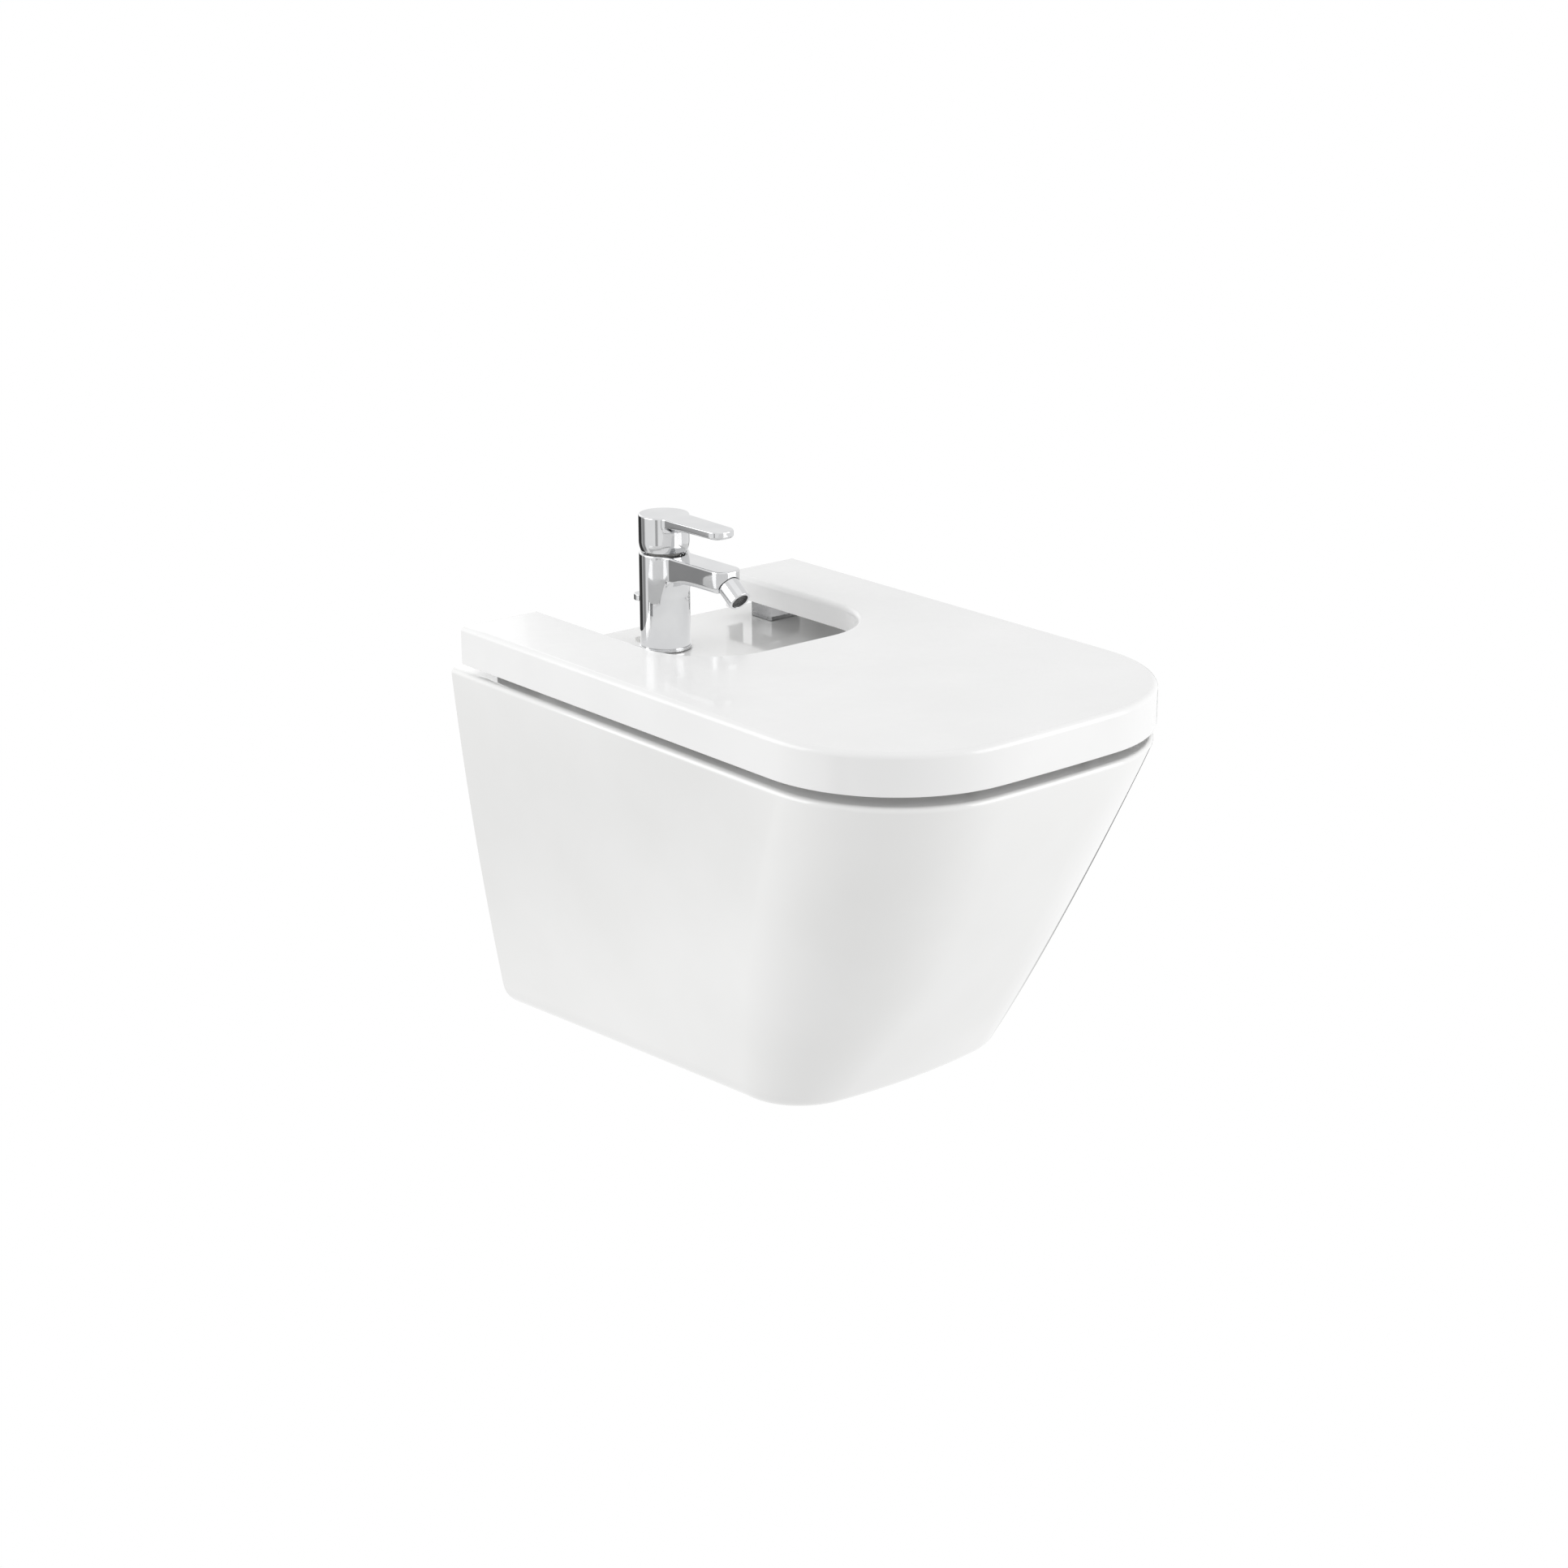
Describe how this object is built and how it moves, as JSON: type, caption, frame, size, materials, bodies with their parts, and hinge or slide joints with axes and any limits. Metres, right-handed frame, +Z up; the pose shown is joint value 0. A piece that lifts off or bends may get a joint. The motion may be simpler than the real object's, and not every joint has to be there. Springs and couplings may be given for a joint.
{
  "type": "wall-hung bidet",
  "caption": "Wall-hung ceramic bidet with a hinged notched lid, a single-lever tap with a tilting spray nozzle, and a pop-up waste worked by a lift rod.",
  "frame": {"origin": "midway between the two wall bolts, on the face of the wall", "axes": "+X to the right when facing the wall, +Y into the wall, +Z up"},
  "size_m": [0.362, 0.5426, 0.4406],
  "materials": {
    "glazed_ceramic": "glossy glaze",
    "lid_shell": "glossy moulded thermoset",
    "chrome": "polished plating",
    "hinge_metal": "satin plating",
    "steel": "satin",
    "brass": "machined",
    "black_rubber": "matte",
    "buffer_rubber": "matte",
    "pale_plastic": "moulded",
    "disc_ceramic": "lapped",
    "mesh_plastic": "moulded"
  },
  "bodies": {
    "root": {"ball_stud": "brass", "bowl": "glazed_ceramic", "cartridge_housing": "pale_plastic", "cartridge_nut": "brass", "clamp_gasket": "black_rubber", "clamp_washer": "steel", "hinge_block_left": "hinge_metal", "hinge_block_right": "hinge_metal", "hinge_gaskets": "black_rubber", "hinge_nuts": "steel", "hinge_pins": "steel", "hinge_studs": "steel", "hinge_washers": "steel", "lower_disc": "disc_ceramic", "pivot_nut": "brass", "pivot_seat": "pale_plastic", "rod_guide": "pale_plastic", "tail_nut": "brass", "tail_pipe": "brass", "tail_washer": "black_rubber", "tap_base_ring": "chrome", "tap_base_seal": "black_rubber", "tap_body": "chrome", "tap_nut": "steel", "tap_stud": "steel", "wall_nuts": "steel", "wall_sleeves": "pale_plastic", "wall_washers": "steel", "waste_body": "brass", "waste_flange": "chrome", "waste_gasket": "black_rubber", "waste_seal": "black_rubber"},
    "lid": {"lid": "lid_shell", "lid_buffers": "buffer_rubber", "hinge_leaf_left": "steel", "hinge_leaf_right": "steel", "hinge_leaf_screws": "steel"},
    "carrier": {"cartridge_carrier": "pale_plastic", "upper_disc": "disc_ceramic", "stem_pin": "steel"},
    "lever": {"cartridge_stem": "brass", "lever_handle": "chrome", "grub_screw": "steel"},
    "nozzle_gimbal": {"friction_ring": "pale_plastic"},
    "nozzle": {"nozzle_shell": "chrome", "nozzle_collar": "brass", "aerator_insert": "pale_plastic", "aerator_screen": "mesh_plastic"},
    "lift_rod": {"lift_rod": "chrome", "lift_knob": "chrome", "rod_clamp": "brass", "clamp_screw": "steel", "link_strap": "steel"},
    "pivot_rod": {"pivot_rod": "brass"},
    "plug": {"plug": "chrome", "plug_seal": "black_rubber"}
  },
  "joints": [
    {"name": "lid_hinge", "type": "hinge", "parent": "root", "child": "lid", "pos_m": [0, -0.042, 0.113], "axis": [-1, 0, 0], "range_deg": [0, 93]},
    {"name": "lever_swivel", "type": "hinge", "parent": "root", "child": "carrier", "pos_m": [0, -0.0659, 0.18], "axis": [0, 0, 1], "range_deg": [-50, 50]},
    {"name": "lever_tilt", "type": "hinge", "parent": "carrier", "child": "lever", "pos_m": [0, -0.0659, 0.18], "axis": [-1, 0, 0], "range_deg": [0, 20]},
    {"name": "nozzle_pitch", "type": "hinge", "parent": "root", "child": "nozzle_gimbal", "pos_m": [0, -0.1547, 0.1556], "axis": [1, 0, 0], "range_deg": [-12, 12]},
    {"name": "nozzle_yaw", "type": "hinge", "parent": "nozzle_gimbal", "child": "nozzle", "pos_m": [0, -0.1547, 0.1556], "axis": [0, -0.5878, 0.809], "range_deg": [-12, 12]},
    {"name": "lift_slide", "type": "slide", "parent": "root", "child": "lift_rod", "axis": [0, 0, 1], "range_m": [0, 0.04]},
    {"name": "pivot_rod_turn", "type": "hinge", "parent": "root", "child": "pivot_rod", "pos_m": [0, -0.253, -0.098], "axis": [1, 0, 0], "range_deg": [0, 10.3]},
    {"name": "plug_drop", "type": "slide", "parent": "root", "child": "plug", "axis": [0, 0, -1], "range_m": [0, 0.0058]}
  ],
  "couplings": [
    {"joint": "pivot_rod_turn", "follows": "lift_slide", "rad_per_m": 4.459},
    {"joint": "plug_drop", "follows": "lift_slide", "ratio": 0.1425}
  ]
}
